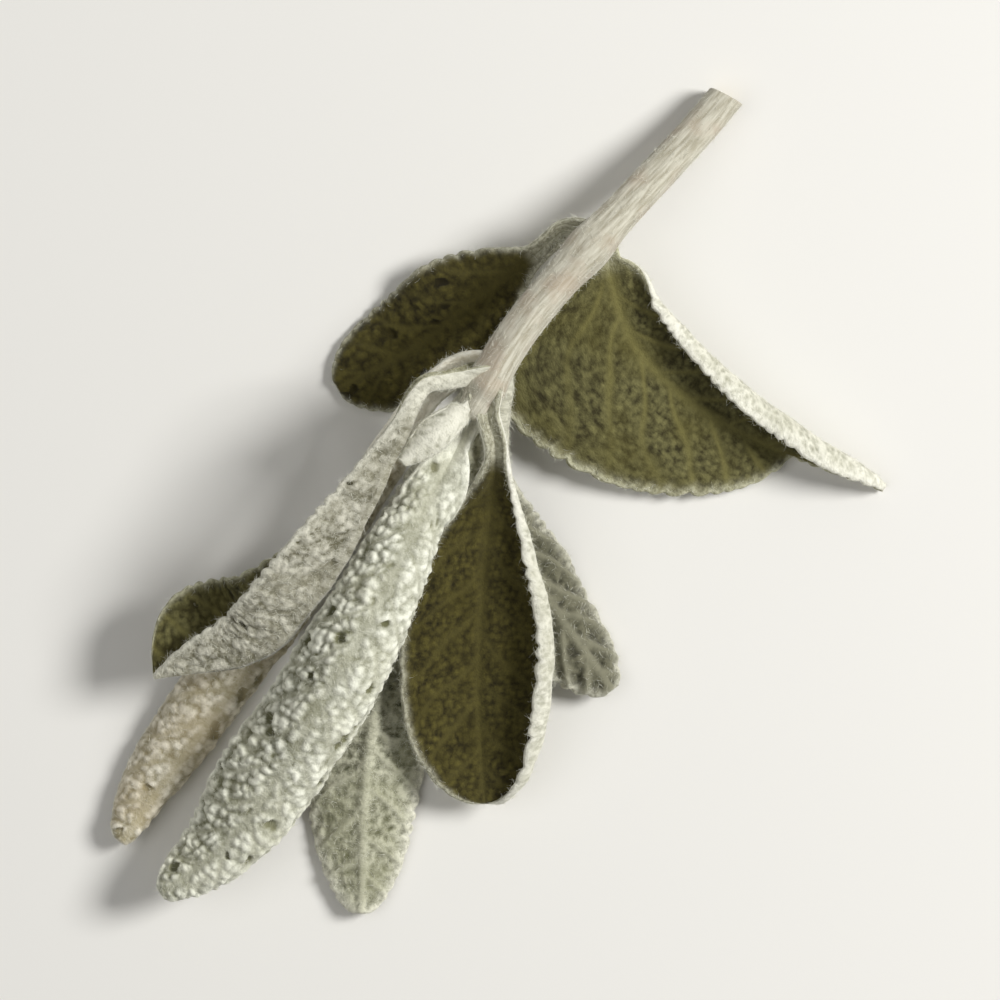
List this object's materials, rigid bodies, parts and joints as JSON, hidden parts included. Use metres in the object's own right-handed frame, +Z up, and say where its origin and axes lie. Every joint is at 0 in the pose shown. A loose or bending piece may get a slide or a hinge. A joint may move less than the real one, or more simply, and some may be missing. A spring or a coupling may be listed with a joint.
{
  "type": "sage sprig",
  "caption": "Dried sprig tip of garden sage lying flat: a short downy stem with narrow, rolled and folded leaves and a closed bud at its tip.",
  "frame": {"origin": "centre of the sprig's box, on the surface that it lies on", "axes": "+Z up from the surface, +Y from the leaf tips towards the stem's cut end, +X to the right"},
  "size_m": [0.036, 0.0384, 0.0077],
  "materials": {
    "dried_stem": "dried sage stem, pale grey with a pinkish tone, matt and downy",
    "bud_felt": "closed young leaves under dense pale down, matt",
    "leaf_downy_pale": "dried sage leaf, finely pebbled upper side under pale down, matt",
    "leaf_felted_back": "dried sage leaf, smooth felted back, matt",
    "leaf_olive": "dried sage leaf, olive brown pebbled upper side with a pale margin, matt",
    "leaf_veined_back": "dried sage leaf, pale back with a raised net of veins, matt",
    "leaf_tan": "dried sage leaf, yellow brown, matt",
    "leaf_shaded": "dried sage leaf, dark olive brown, matt"
  },
  "bodies": {
    "root": {"stem": "dried_stem", "terminal_bud": "bud_felt", "leaf_front": "leaf_downy_pale", "leaf_left": "leaf_felted_back", "leaf_right": "leaf_olive", "leaf_back": "leaf_veined_back", "leaf_small": "leaf_veined_back", "leaf_tan": "leaf_tan", "leaf_lower_right": "leaf_olive", "leaf_lower_left": "leaf_shaded"}
  },
  "joints": []
}
